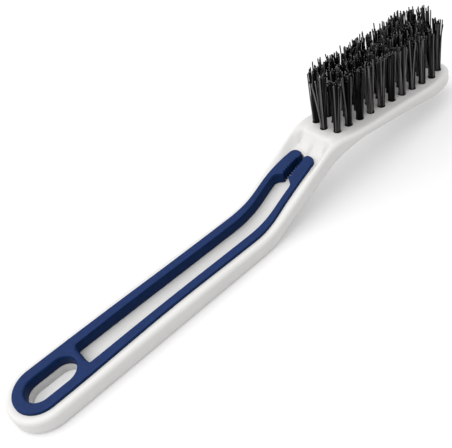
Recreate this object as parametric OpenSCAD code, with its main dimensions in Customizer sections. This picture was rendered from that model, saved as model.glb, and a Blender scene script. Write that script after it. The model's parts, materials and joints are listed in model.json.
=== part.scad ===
// Cranked grout brush with lift-out tweezers in its handle, lying on its back with the bristles up.
// Millimetres, +Z up, X from the butt to the head, origin under the middle of the brush.

/* [Handle] */
// Radius of the round butt
butt_r = 12; // [11:0.1:13]
// From the butt arc's centre to the start of the bend
grip_len = 84.4; // [78:0.2:90]
// Width of the handle at the start of the bend
grip_w = 21.5; // [20.5:0.1:23]
// Height of the handle's rim above the table
rim_h = 6.6; // [6.3:0.1:7.4]
// How far the rim arches up in the middle of the grip
grip_crown = 0.4; // [0:0.1:0.6]
// Width of the neck
neck_w = 20.2; // [19.6:0.1:21]
// Angle at which the neck rises
neck_deg = 26.6; // [24:0.2:28]
// Radius of the bend in the rim where the neck begins
bend_r = 27.6; // [25:0.2:32]
// Straight length of the neck's rim
neck_len = 24.7; // [23.6:0.1:26]
// Radius over which the neck turns into the head
crest_r = 16; // [15:0.5:17]
// Rounding of the upper edges
top_edge_r = 1.6; // [1:0.1:1.8]
// Rounding of the lower edges
back_edge_r = 1.7; // [1:0.1:2]

/* [Back] */
// How far past the rim's bend the back starts to rise
back_lag = 0.7; // [0:0.1:2]
// Radius of the hollow bend in the back
back_bend_r = 19.9; // [18:0.1:22]
// How much flatter the back of the neck rises than its rim
back_flatter_deg = 2.8; // [2:0.1:3.2]
// How much longer the back's straight run is than the rim's
back_longer = 6.7; // [6:0.1:7.4]
// Radius of the round bend in the back under the head
back_crest_r = 29.7; // [26:0.1:32]
// How much steeper the head's back falls than its pad
back_steeper_deg = 2.4; // [1.4:0.1:2.8]

/* [Head] */
// Angle at which the bristle pad falls towards the tip
pad_deg = 9.66; // [8.5:0.1:11]
// Width of the head behind the first tufts
pad_w = 22.8; // [22:0.1:24]
// Width of the head where its round tip begins
tip_w = 19.7; // [19:0.1:21]
// Length of the oval tip
tip_len = 21.7; // [20:0.1:24]
// From the crest to the widest place of the head
swell_len = 5; // [4:0.1:7]
// From the widest place to where the head stops narrowing
narrowing_len = 35; // [30:0.5:35.5]
// From the first tuft to where the oval tip begins
tip_reach = 40.9; // [40.5:0.1:44]

/* [Hang hole] */
// Half the width of the hang hole
hang_r = 5; // [4.4:0.1:5.2]
// Distance between the centres of its two round ends
hang_len = 8.3; // [6:0.1:9]

/* [Tweezers] */
// Radius of the loop at the butt
loop_r = 9.05; // [8.9:0.05:9.4]
// Over how much of its length the loop narrows to the legs
loop_blend = 60; // [40:1:75]
// Width over both legs in the grip
legs_w = 15.9; // [15.4:0.1:16.4]
// Width over both legs in the neck
neck_legs_w = 14.2; // [13.8:0.1:14.6]
// Width over both jaws at their tips, before the corners are rounded
jaw_tip_w = 10.8; // [10:0.1:11.6]
// From the butt arc's centre to the far end of the bridge
bridge_x = 16.2; // [15.4:0.1:17.4]
// Half the slot between the legs at the bridge
slot_half_start = 4.85; // [4.6:0.05:5]
// Half the slot between the legs in the neck
slot_half_neck = 4.4; // [4.2:0.05:4.6]
// Thickness of the tweezers in the grip
tweezers_t = 4.2; // [3.8:0.1:4.3]
// How far the tweezers stand above the rim
tweezers_proud = 1; // [0.5:0.1:1.3]
// Straight length of the tweezers after the bend
tweezers_straight = 3.65; // [3:0.05:5]
// Radius of the dip at the jaws
jaw_dip_r = 64; // [60:1:70]
// Radius of the recess floor under the jaws
floor_dip_r = 72; // [70:1:78]
// From the start of the bend to the tips of the jaws
jaw_reach = 33; // [32:0.1:33.6]
// From the end of the bend to where the jaws start to taper
jaw_lead = 3; // [2:0.1:4]
// From the start of the bend to the heels of the jaws
heel_reach = 21; // [20:0.1:22]
// Length of the chamfer on each heel
heel_run = 1.8; // [1.4:0.1:2.4]
// Half the gap between the jaws at their heels
gap_half_heel = 1.4; // [1.3:0.05:1.6]
// Half the gap between the jaws at their tips
gap_half_tip = 1; // [0.95:0.05:1.2]
// Number of teeth on each jaw
teeth = 11; // [6:1:14]
// Depth of the teeth
tooth_depth = 0.35; // [0.2:0.05:0.4]
// Plain stretch between the last tooth and the tip's corner
tooth_end = 0.6; // [0.3:0.1:1]
// Outer corner radius of the jaw tips
jaw_outer_r = 2.5; // [2:0.1:2.6]
// Inner corner radius of the jaw tips
jaw_inner_r = 1.2; // [0.8:0.1:1.3]
// Gap between the tweezers and the recess walls
recess_clear = 0.25; // [0.15:0.05:0.35]
// Gap between the tweezers and the recess floor
floor_clear = 0.15; // [0.1:0.05:0.3]
// Gap between the loop and the root of each leg
root_gap = 0.12; // [0.1:0.01:0.2]
// Length of the legs' roots that stays with the bridge
root_len = 1; // [0.8:0.1:1.4]
// Height of the small cusp in the recess wall between the jaw tips
cusp_h = 0.5; // [0.2:0.05:0.6]

/* [Thumb scoop] */
// From the jaw tips to where the scoop starts to climb
scoop_flat = 1.4; // [0.8:0.1:2]
// From the jaw tips to the front edge of the pad
scoop_len = 6.1; // [5.4:0.1:6.6]
// Half the width of the scoop's floor
scoop_half_floor = 6.9; // [6.4:0.1:7]
// Half the width of the scoop at its upper edge
scoop_half_top = 8.6; // [8.4:0.1:8.8]
// Depth of the two thumb hollows in the scoop
hollow_depth = 0.5; // [0:0.1:0.7]
// How far each hollow lies from the centre line
hollow_y = 3.2; // [2.6:0.1:4]
// How far each hollow lies past the start of the climb
hollow_lead = 0.8; // [0.4:0.1:1.4]
// Half the length of a hollow
hollow_long = 1.5; // [1.2:0.1:2]
// Half the width of a hollow
hollow_wide = 1.7; // [1.4:0.1:2.2]

/* [Tufts] */
// From the crest of the neck to the first tufts
tuft_start = 0.65; // [0.5:0.05:1.5]
// Distance between tufts along a row
tuft_pitch = 5.7; // [5.5:0.05:5.75]
// Tufts in each outer row, with the one drawn in at the tip
outer_count = 11; // [8:1:11]
// Tufts in the middle row
middle_count = 10; // [7:1:10]
// How far the middle row starts before the outer rows
middle_lead = 1.45; // [0:0.05:2]
// Outer row's distance from the centre line at the first tuft
row_half_start = 5.2; // [4.8:0.05:5.6]
// Outer row's distance from the centre line at its last straight place
row_half_end = 4.4; // [4.2:0.05:4.8]
// Distance of the last tufts, at the tip, from the centre line
row_half_tip = 2.2; // [1.8:0.05:2.6]
// From the last straight place to the tufts at the tip
tip_step = 6.2; // [5.6:0.1:6.6]
// Radius of a tuft at its base
tuft_r = 1.4; // [1.3:0.05:1.5]
// Depth of the tuft holes
hole_depth = 3.2; // [2.6:0.1:3.4]
// Gap between a tuft and the wall of its hole
tuft_clear = 0.05; // [0.03:0.01:0.08]
// How far the tight base of a tuft stands above the pad
tuft_base_h = 0.7; // [0.4:0.1:1.2]
// Free length of the bristles on the centre line at the first tufts
bristle_len = 20.2; // [18:0.2:23]
// How much longer the bristles are on the centre line at the tip
bristle_gain = 2.6; // [0:0.1:4]
// How much the bristles gain in length from row to row at the first tufts
row_gain_start = 0.7; // [0:0.1:2]
// How much the bristles gain in length from row to row at the tip
row_gain_end = 3.4; // [0:0.1:4]
// How much single bristles differ in length
bristle_uneven = 1.1; // [0:0.1:1.6]
// Radius of a bristle
bristle_r = 0.2; // [0.16:0.01:0.22]
// How far the tips of a tuft spread, as a share of its base
tuft_fan = 0.42; // [0.3:0.02:0.5]
// How far the bristles round a tuft stand in from the edge of its base
strand_inset = 0.3; // [0.25:0.05:0.4]
// How much shorter the outer bristles of a tuft are than the inner ones
outer_shorter = 0.4; // [0:0.1:1]
// How far a bristle's tip strays sideways
tip_stray = 0.12; // [0:0.01:0.14]
// Lean of the first tufts towards the handle
lean_start = 1.5; // [0:0.5:6]
// Distance over which that lean dies away
lean_fade = 8; // [6:0.5:16]
// Lean of the last tufts back from the tip
lean_end = 1.5; // [0:0.5:3]
// Thickness of the anchor plates
anchor_t = 0.3; // [0.2:0.05:0.4]
// Height of the anchor plates
anchor_h = 1.5; // [1:0.1:2]
// How far an anchor plate's edges stay inside the tuft's wall
anchor_inset = 0.25; // [0.2:0.05:0.4]

/* [Hidden] */
white = "#f1f1ef";
navy = "#22376f";
nylon = "#1c1c1e";
steel = "#b9bdc1";

// Number of rings and steps that carry the rounded forms
arc_steps = 9;
edge_steps = 4;
top_columns = 10;
grip_rings = 8;
bend_rings = 9;
neck_rings = 7;
scoop_rings = 14;
head_rings = 9;
tip_rings = 10;
round_sides = 72;
tuft_sides = 20;

// Share of a bristle's length and thickness at which its point begins
point_start = 0.9;
point_thin = 0.8;

// Curve of the scoop's climb, lap between solids that join, and cuts that reach past a solid
ridge_power = 1.8;
lap = 0.3;
past = 1;
high = 60;
inner_strands = 5;
outer_strands = 10;
row_seed = 40;
first_seed = 100;

function ease(t) = let(c = min(1, max(0, t))) c * c * (3 - 2 * c);
function mix(a, b, t) = a + (b - a) * t;

// Height of a line that is flat, bends up, runs straight, and bends down again
function crank_z(x, x0, z0, r1, up, run, r2, down) =
    let(x1 = x0 + r1 * sin(up), z1 = z0 + r1 * (1 - cos(up)))
    let(x2 = x1 + run * cos(up), z2 = z1 + run * sin(up))
    let(x3 = x2 + r2 * (sin(up) + sin(down)), z3 = z2 + r2 * (cos(down) - cos(up)))
    x < x0 ? z0
    : x < x1 ? z0 + r1 - sqrt(r1 * r1 - (x - x0) * (x - x0))
    : x < x2 ? z1 + (x - x1) * tan(up)
    : x < x3 ? z2 - r2 * cos(up) + sqrt(r2 * r2 - pow(x - x2 - r2 * sin(up), 2))
    : z3 - (x - x3) * tan(down);

function crown(x) = x > 0 && x < grip_len ? grip_crown * pow(sin(180 * x / grip_len), 2) : 0;

// Main lines of the side view: rim, back, top of the tweezers, floor of their recess
tweezers_floor_h = rim_h + tweezers_proud - tweezers_t;
function rim_z(x) = crown(x)
    + crank_z(x, grip_len, rim_h, bend_r, neck_deg, neck_len, crest_r, pad_deg);
function back_z(x) =
    crank_z(x, grip_len + back_lag, 0, back_bend_r, neck_deg - back_flatter_deg,
            neck_len + back_longer, back_crest_r, pad_deg + back_steeper_deg);
function tweezers_z(x) = crown(x)
    + crank_z(x, grip_len, rim_h + tweezers_proud, bend_r - tweezers_proud, neck_deg,
              tweezers_straight, jaw_dip_r, 0);
function floor_z(x) =
    crank_z(x, grip_len, tweezers_floor_h, bend_r - tweezers_proud + tweezers_t, neck_deg,
            tweezers_straight, floor_dip_r, 0);

// Places along the brush
neck_end = grip_len + bend_r * sin(neck_deg);
rim_end = neck_end + neck_len * cos(neck_deg);
crest_end = rim_end + crest_r * (sin(neck_deg) + sin(pad_deg));
first_tuft = crest_end + tuft_start;
swell_x = crest_end + swell_len;
narrow_x = swell_x + narrowing_len;
tip_r = tip_w / 2;
tip_x = first_tuft + tip_reach;
mid_x = (tip_x + tip_len - butt_r) / 2;
jaw_tip = grip_len + jaw_reach;
heel_x = grip_len + heel_reach;
heel_end = heel_x + heel_run;
jaw_start = neck_end + jaw_lead;
scoop_start = jaw_tip + scoop_flat;
scoop_end = jaw_tip + scoop_len;
root_x = bridge_x + root_len;

// Half the width of the body, of the tweezers over both legs, of the slot and of the gap in the jaws
function body_half(x) =
    x < grip_len ? mix(butt_r, grip_w / 2, max(0, x) / grip_len)
    : x < rim_end ? mix(grip_w / 2, neck_w / 2, ease((x - grip_len) / (neck_end - grip_len)))
    : x < swell_x ? mix(neck_w / 2, pad_w / 2, ease((x - rim_end) / (swell_x - rim_end)))
    : mix(pad_w / 2, tip_r, ease((x - swell_x) / (narrow_x - swell_x)));
function legs_half(x) =
    x < grip_len ? mix(loop_r, legs_w / 2, ease(x / loop_blend))
    : x < jaw_start ? mix(legs_w / 2, neck_legs_w / 2, ease((x - grip_len) / (jaw_start - grip_len)))
    : mix(neck_legs_w / 2, jaw_tip_w / 2, pow((x - jaw_start) / (jaw_tip - jaw_start), 2));
function slot_half(x) =
    mix(slot_half_start, slot_half_neck, ease((x - bridge_x) / (grip_len - bridge_x)));
function gap_half(x) = mix(gap_half_heel, gap_half_tip, (x - heel_end) / (jaw_tip - heel_end));

// Depth of the thumb scoop below the rim: level with the jaws' sides, then climbing to the pad
function scoop_floor(x) =
    max(0, rim_z(min(x, scoop_start)) - tweezers_z(min(x, scoop_start)) + tweezers_proud / cos(neck_deg));
function scoop_depth(x) = x < neck_end || x > scoop_end ? 0
    : x < scoop_start ? scoop_floor(x)
    : scoop_floor(scoop_start) * (1 - pow((x - scoop_start) / (scoop_end - scoop_start), ridge_power));
function hollow(x, y) =
    hollow_depth * exp(-pow((x - scoop_start - hollow_lead) / hollow_long, 2)
                       - pow((abs(y) - hollow_y) / hollow_wide, 2));
function across(y) = 1 - ease((abs(y) - scoop_half_floor) / (scoop_half_top - scoop_half_floor));
function top_z(x, y) = rim_z(x) - across(y) * (scoop_depth(x) + hollow(x, y));

// Outline stations of the body: place and outward direction, from the butt to the tip
function station(x, y, dx, dy) = let(n = norm([dx, dy])) [x, y, dx / n, dy / n];
function side_station(x) = station(x, body_half(x), body_half(x - lap) - body_half(x + lap), 2 * lap);
function butt_station(a) = station(butt_r * cos(a), butt_r * sin(a), cos(a), sin(a));
function tip_station(a) =
    station(tip_x + tip_len * cos(a), tip_r * sin(a), cos(a) / tip_len, sin(a) / tip_r);
scoop_rings_start = jaw_tip - past;
stations = concat(
    [for (i = [1:arc_steps]) butt_station(180 - 90 * i / arc_steps)],
    [for (i = [1:grip_rings]) side_station(grip_len * i / (grip_rings + 1))],
    [for (i = [0:bend_rings]) side_station(mix(grip_len, neck_end, i / bend_rings))],
    [for (i = [1:neck_rings]) side_station(mix(neck_end, scoop_rings_start, i / neck_rings))],
    [for (i = [1:scoop_rings]) side_station(mix(scoop_rings_start, crest_end, i / scoop_rings))],
    [for (i = [1:head_rings]) side_station(mix(crest_end, narrow_x, i / head_rings))],
    [for (i = [0:tip_rings - 1]) tip_station(90 - 90 * i / tip_rings)]);

// One side of the body's edge at a station: inset, height step, and whether it hangs from the top
function top_edge(a) = [top_edge_r * (1 - sin(a)), top_edge_r * (1 - cos(a)), true];
function back_edge(a) = [back_edge_r * (1 - cos(a)), back_edge_r * (1 - sin(a)), false];
edge = concat(
    [for (j = [0:edge_steps]) top_edge(90 * j / edge_steps)],
    [for (j = [0:edge_steps]) back_edge(90 * j / edge_steps)]);
function edge_place(x, y, e) = [x, y, e[2] ? top_z(x, y) - e[1] : back_z(x) + e[1]];
function edge_point(s, e) = edge_place(s[0] - s[2] * e[0], s[1] - s[3] * e[0], e);

// A ring round the body at a station: across the top, down one side, across the back, up the other
function top_point(rim, c) = let(y = rim[1] * (2 * c / top_columns - 1)) [rim[0], y, top_z(rim[0], y)];
function body_ring(s) =
    let(side = [for (e = edge) edge_point(s, e)])
    concat(
        [for (c = [0:top_columns - 1]) top_point(side[0], c)],
        side,
        [for (i = [len(side) - 1:-1:1]) [side[i][0], -side[i][1], side[i][2]]]);
ring_size = top_columns + 2 * len(edge) - 1;

// Where the outline closes on the centre line, all columns of the ring meet in one line of points
function nose_points(x, way) = [for (e = edge) edge_place(x - way * e[0], 0, e)];
function nose_index(k) = k < top_columns ? 0
    : k < top_columns + len(edge) ? k - top_columns
    : 2 * len(edge) - 1 - (k - top_columns);
function nose_faces(first_nose, first_ring, flip) = [for (k = [0:ring_size - 1])
    let(n = (k + 1) % ring_size, a = first_nose + nose_index(k), b = first_nose + nose_index(n))
    let(quad = a == b ? [[a, first_ring + n, first_ring + k]]
        : [[a, b, first_ring + k], [b, first_ring + n, first_ring + k]])
    for (f = quad) flip ? [f[2], f[1], f[0]] : f];

module body_shell() {
    count = len(stations);
    points = concat(
        [for (s = stations) each body_ring(s)],
        nose_points(-butt_r, -1),
        nose_points(tip_x + tip_len, 1));
    butt_nose = count * ring_size;
    tip_nose = butt_nose + len(edge);
    skin = [for (i = [0:count - 2], k = [0:ring_size - 1])
        let(n = (k + 1) % ring_size, a = i * ring_size, b = a + ring_size)
        for (f = [[a + k, a + n, b + k], [a + n, b + n, b + k]]) f];
    polyhedron(points, concat(skin, nose_faces(butt_nose, 0, false),
                              nose_faces(tip_nose, (count - 1) * ring_size, true)));
}

// Outline points on a round corner, and an outline turned over to the other side
function on_circle(cx, cy, r, a) = [cx + r * cos(a), cy + r * sin(a)];
function corner(cx, cy, r, from, to, steps) =
    [for (i = [0:steps]) on_circle(cx, cy, r, mix(from, to, i / steps))];
function mirrored(points) = [for (i = [len(points) - 1:-1:0]) [points[i][0], -points[i][1]]];

// Outer side of one leg and jaw, from the given place to the tip, grown by a clearance
function leg_side(x, grow) = [x, legs_half(x) + grow];
function leg_outside(from, grow) =
    let(corner_x = jaw_tip - jaw_outer_r)
    concat(
        [for (i = [0:6]) leg_side(mix(from, grip_len, i / 6), grow)],
        [for (i = [1:8]) leg_side(mix(grip_len, jaw_start, i / 8), grow)],
        [for (i = [1:6]) leg_side(mix(jaw_start, corner_x, i / 6), grow)],
        corner(corner_x, legs_half(corner_x) - jaw_outer_r, jaw_outer_r + grow, 80, 0, 5));

// Slab between two lines of the side view, wide enough to cut the plan outlines from
bend_out = grip_len + (bend_r + tweezers_t) * sin(neck_deg);
side_start = -butt_r - past;
side_end = jaw_tip + 2 * past;
function side_line(rise, from, to, steps) =
    [for (i = [0:steps]) let(x = mix(from, to, i / steps)) [x, rise(x)]];
function side_points(rise) = concat(
    [[side_start, rise(side_start)]],
    side_line(rise, 0, grip_len - 4 * past, 8),
    side_line(rise, grip_len, bend_out, 12),
    side_line(rise, bend_out + 2 * past, side_end, 10));
module side_slab(lower, upper) {
    translate([0, butt_r, 0]) rotate([90, 0, 0]) linear_extrude(2 * butt_r)
        polygon(concat(lower, [for (i = [len(upper) - 1:-1:0]) upper[i]]));
}
tweezers_top = side_points(function(x) tweezers_z(x));
recess_floor = side_points(function(x) floor_z(x));
tweezers_back = [for (p = recess_floor) [p[0], p[1] + floor_clear]];
above = [[side_start, high], [side_end, high]];

module hang_hole() {
    translate([0, 0, -past]) {
        cylinder(r = hang_r, h = high, $fn = round_sides);
        translate([hang_len, 0, 0]) cylinder(r = hang_r, h = high, $fn = round_sides);
        translate([0, -hang_r, 0]) cube([hang_len, 2 * hang_r, high]);
    }
}

// Recess outline with a round end at the butt, and a low cusp between the two jaw tips
module recess() {
    wall = jaw_tip + recess_clear;
    tip = concat(
        leg_outside(0, recess_clear),
        [[wall, gap_half_tip], [wall - cusp_h, 0]]);
    intersection() {
        union() {
            translate([0, 0, -past]) cylinder(r = loop_r + recess_clear, h = 2 * high, $fn = round_sides);
            linear_extrude(2 * high) polygon(concat(tip, mirrored(tip)));
        }
        side_slab(recess_floor, above);
    }
}

module on_pad() {
    translate([first_tuft, 0, rim_z(first_tuft)]) rotate([0, pad_deg, 0]) children();
}

// Tuft places on the pad: distance along it, distance from the centre line, and number for the random draws
straight_count = outer_count - 1;
function row_half(k) =
    k < straight_count ? mix(row_half_start, row_half_end, k / (straight_count - 1)) : row_half_tip;
function row_reach(k) = k < straight_count ? k * tuft_pitch : (k - 1) * tuft_pitch + tip_step;
function outer_tuft(k, side) = [row_reach(k), side * row_half(k), first_seed + row_seed * side + k];
function middle_tuft(k) = [k * tuft_pitch - middle_lead, 0, first_seed + k];
tuft_places = concat(
    [for (k = [0:outer_count - 1]) outer_tuft(k, -1)],
    [for (k = [0:middle_count - 1]) middle_tuft(k)],
    [for (k = [0:outer_count - 1]) outer_tuft(k, 1)]);

module handle_body() {
    color(white) translate([-mid_x, 0, 0]) difference() {
        body_shell();
        recess();
        hang_hole();
        on_pad() for (t = tuft_places)
            translate([t[0], t[1], -hole_depth])
                cylinder(r = tuft_r + tuft_clear, h = 2 * hole_depth, $fn = tuft_sides);
    }
}

module tweezers_loop() {
    half = [for (i = [0:4]) leg_side(root_x * i / 4, 0)];
    slot = [[bridge_x, slot_half_start], [root_x + past, slot_half_start]];
    color(navy) translate([-mid_x, 0, 0]) intersection() {
        difference() {
            union() {
                cylinder(r = loop_r, h = high, $fn = round_sides);
                linear_extrude(high) polygon(concat(half, mirrored(half)));
            }
            hang_hole();
            linear_extrude(high) polygon(concat(slot, mirrored(slot)));
        }
        side_slab(tweezers_back, tweezers_top);
    }
}

// One leg with its toothed jaw, on the +Y side
module leg() {
    from = root_x + root_gap;
    tooth = (jaw_tip - jaw_inner_r - tooth_end - heel_end) / teeth;
    row = [for (k = [teeth - 1:-1:0]) each [
        [heel_end + (k + 1) * tooth, gap_half(heel_end + (k + 1) * tooth)],
        [heel_end + (k + 0.5) * tooth, gap_half(heel_end + k * tooth) + tooth_depth]]];
    inside = concat(
        corner(jaw_tip - jaw_inner_r, gap_half_tip + jaw_inner_r, jaw_inner_r, 0, -90, 4),
        row,
        [[heel_end, gap_half_heel], [heel_x, slot_half(heel_x)]],
        [for (i = [8:-1:0]) let(x = mix(from, grip_len, i / 8)) [x, slot_half(x)]]);
    intersection() {
        linear_extrude(high) polygon(concat(leg_outside(from, 0), inside));
        side_slab(tweezers_back, tweezers_top);
    }
}

module tweezers_arm_left() {
    color(navy) translate([-mid_x, 0, 0]) leg();
}

module tweezers_arm_right() {
    color(navy) translate([-mid_x, 0, 0]) mirror([0, 1, 0]) leg();
}

// A pointed three-sided bristle between two places
function three_round(place, r, turn) = [for (a = [0:120:240]) place + r * [cos(a + turn), sin(a + turn), 0]];
module bristle(foot, tip, turn) {
    points = concat(
        three_round(foot, bristle_r, turn),
        three_round(mix(foot, tip, point_start), point_thin * bristle_r, turn),
        [tip]);
    polyhedron(points, [[0, 1, 2],
        for (i = [0:2]) each let(n = (i + 1) % 3) [[i, i + 3, n], [n, i + 3, n + 3], [i + 3, 6, n + 3]]]);
}

// Length and lean of the bristles of a tuft, by its place along and across the pad
pad_reach = row_reach(outer_count - 1);
function bristle_long(u, y) = let(t = u / pad_reach)
    bristle_len + bristle_gain * t + mix(row_gain_start, row_gain_end, t) * y / row_half_end;
function lean(u) =
    -lean_end * pow(max(0, u) / pad_reach, 2) - lean_start * exp(-(u + middle_lead) / lean_fade);

module anchor(grow) {
    width = 2 * (tuft_r - anchor_inset);
    translate([-anchor_t / 2 - grow, -width / 2 - grow, -hole_depth])
        cube([anchor_t + 2 * grow, width + 2 * grow, anchor_h + grow]);
}

// A tuft: its tight base in the hole, and a fan of bristles that spread from it in two circles
module tuft(place) {
    draw = rands(-1, 1, 3 * (inner_strands + outer_strands), place[2]);
    long = bristle_long(place[0], place[1]);
    ring_r = tuft_r - strand_inset;
    color(nylon) translate([-mid_x, 0, 0]) on_pad() translate([place[0], place[1], 0]) {
        difference() {
            translate([0, 0, -hole_depth])
                cylinder(r = tuft_r, h = hole_depth + tuft_base_h, $fn = tuft_sides);
            anchor(tuft_clear);
        }
        for (i = [0:inner_strands + outer_strands - 1]) {
            outer = i >= inner_strands;
            r = outer ? ring_r : ring_r / 2;
            a = 360 * (outer ? (i - inner_strands) / outer_strands : (i + 0.3) / inner_strands);
            h = long + bristle_uneven * draw[3 * i] - (outer ? outer_shorter : 0);
            foot = [r * cos(a), r * sin(a), tuft_base_h - lap];
            spread = 1 + tuft_fan * h / bristle_len;
            tip = [spread * foot[0] + h * tan(lean(place[0])) + tip_stray * draw[3 * i + 1],
                   spread * foot[1] + tip_stray * draw[3 * i + 2], h];
            bristle(foot, tip, a);
        }
    }
}

module tuft_anchors() {
    color(steel) translate([-mid_x, 0, 0]) on_pad()
        for (t = tuft_places) translate([t[0], t[1], 0]) anchor(0);
}

handle_body();
tweezers_loop();
tweezers_arm_left();
tweezers_arm_right();
tuft_anchors();
for (k = [1:outer_count])
    tuft(outer_tuft(k - 1, -1));
for (k = [1:middle_count])
    tuft(middle_tuft(k - 1));
for (k = [1:outer_count])
    tuft(outer_tuft(k - 1, 1));
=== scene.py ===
"""Looks of a cranked grout brush with lift-out tweezers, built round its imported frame."""

import json
import math
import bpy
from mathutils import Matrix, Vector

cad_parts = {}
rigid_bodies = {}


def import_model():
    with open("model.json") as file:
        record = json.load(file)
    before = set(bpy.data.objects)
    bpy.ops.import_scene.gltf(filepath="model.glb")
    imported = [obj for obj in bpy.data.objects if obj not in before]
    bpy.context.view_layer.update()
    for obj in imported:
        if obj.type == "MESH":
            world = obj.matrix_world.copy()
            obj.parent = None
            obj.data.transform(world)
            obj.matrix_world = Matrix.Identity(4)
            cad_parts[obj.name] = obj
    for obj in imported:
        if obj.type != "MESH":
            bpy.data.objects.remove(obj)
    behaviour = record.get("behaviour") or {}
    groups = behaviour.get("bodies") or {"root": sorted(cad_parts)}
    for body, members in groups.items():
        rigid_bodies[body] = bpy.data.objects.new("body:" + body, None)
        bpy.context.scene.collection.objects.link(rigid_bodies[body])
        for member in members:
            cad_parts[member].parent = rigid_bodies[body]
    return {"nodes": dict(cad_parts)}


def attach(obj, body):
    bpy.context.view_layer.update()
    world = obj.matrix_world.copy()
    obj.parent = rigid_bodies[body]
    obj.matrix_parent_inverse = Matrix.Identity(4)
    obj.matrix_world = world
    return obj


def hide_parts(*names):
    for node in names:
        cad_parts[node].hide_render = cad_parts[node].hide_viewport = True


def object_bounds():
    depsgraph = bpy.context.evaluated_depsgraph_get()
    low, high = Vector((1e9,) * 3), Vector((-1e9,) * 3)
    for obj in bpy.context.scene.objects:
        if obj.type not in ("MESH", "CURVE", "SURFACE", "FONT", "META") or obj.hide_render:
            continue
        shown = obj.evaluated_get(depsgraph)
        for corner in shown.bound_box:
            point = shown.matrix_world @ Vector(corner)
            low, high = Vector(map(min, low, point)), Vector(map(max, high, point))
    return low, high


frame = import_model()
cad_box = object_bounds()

from types import SimpleNamespace

import bmesh
import bpy
import numpy as np
from mathutils import Euler, Vector

bl_info = {
    "name": "Grout brush",
    "version": (1, 0, 0),
    "blender": (4, 5, 0),
    "location": "3D View > Sidebar > Grout Brush",
    "description": "Builds the surfaces and finishes of a cranked grout brush with tweezers in its handle",
    "category": "Add Mesh",
}

MM = 0.001

# Angle, in degrees, at which the round corner of a jaw's tip takes over from its tapered side
JAW_CORNER_START = 80
# Points nearer than this, in metres, are one point of a mesh
MERGE = 2e-7
# Columns of faces across the tweezers' upper and lower faces
BAND_COLUMNS = 8
# A filament leaves its tuft's axis with the first power of its height, and strays with the second
FAN_POWER, STRAY_POWER = 1.3, 1.5
# Start of the random draws, the same in every build
SEED = 7
# Half the width of the studio floor, in metres
FLOOR_HALF = 3.0


def millimetres(value, name, description):
    """A length property, given in millimetres and kept in metres."""
    return bpy.props.FloatProperty(
        name=name, description=description, default=value * MM, unit="LENGTH", precision=5
    )


def degrees(value, name, description):
    """An angle property, given in degrees and kept in radians."""
    return bpy.props.FloatProperty(
        name=name, description=description, default=math.radians(value), subtype="ANGLE"
    )


def number(value, name, description, unit="NONE"):
    """A number property, with a unit where one fits."""
    return bpy.props.FloatProperty(name=name, description=description, default=value, unit=unit)


def count(value, name, description):
    """A whole number property."""
    return bpy.props.IntProperty(name=name, description=description, default=value, min=1)


def linear(hex_colour):
    """An sRGB hex colour as linear red, green, blue and alpha."""
    parts = [int(hex_colour[i : i + 2], 16) / 255 for i in (1, 3, 5)]
    return [c / 12.92 if c <= 0.04045 else ((c + 0.055) / 1.055) ** 2.4 for c in parts] + [1.0]


def colour(hex_colour, name, description):
    """A colour property from an sRGB hex colour."""
    return bpy.props.FloatVectorProperty(
        name=name, description=description, default=linear(hex_colour), size=4, subtype="COLOR", min=0, max=1
    )


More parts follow.
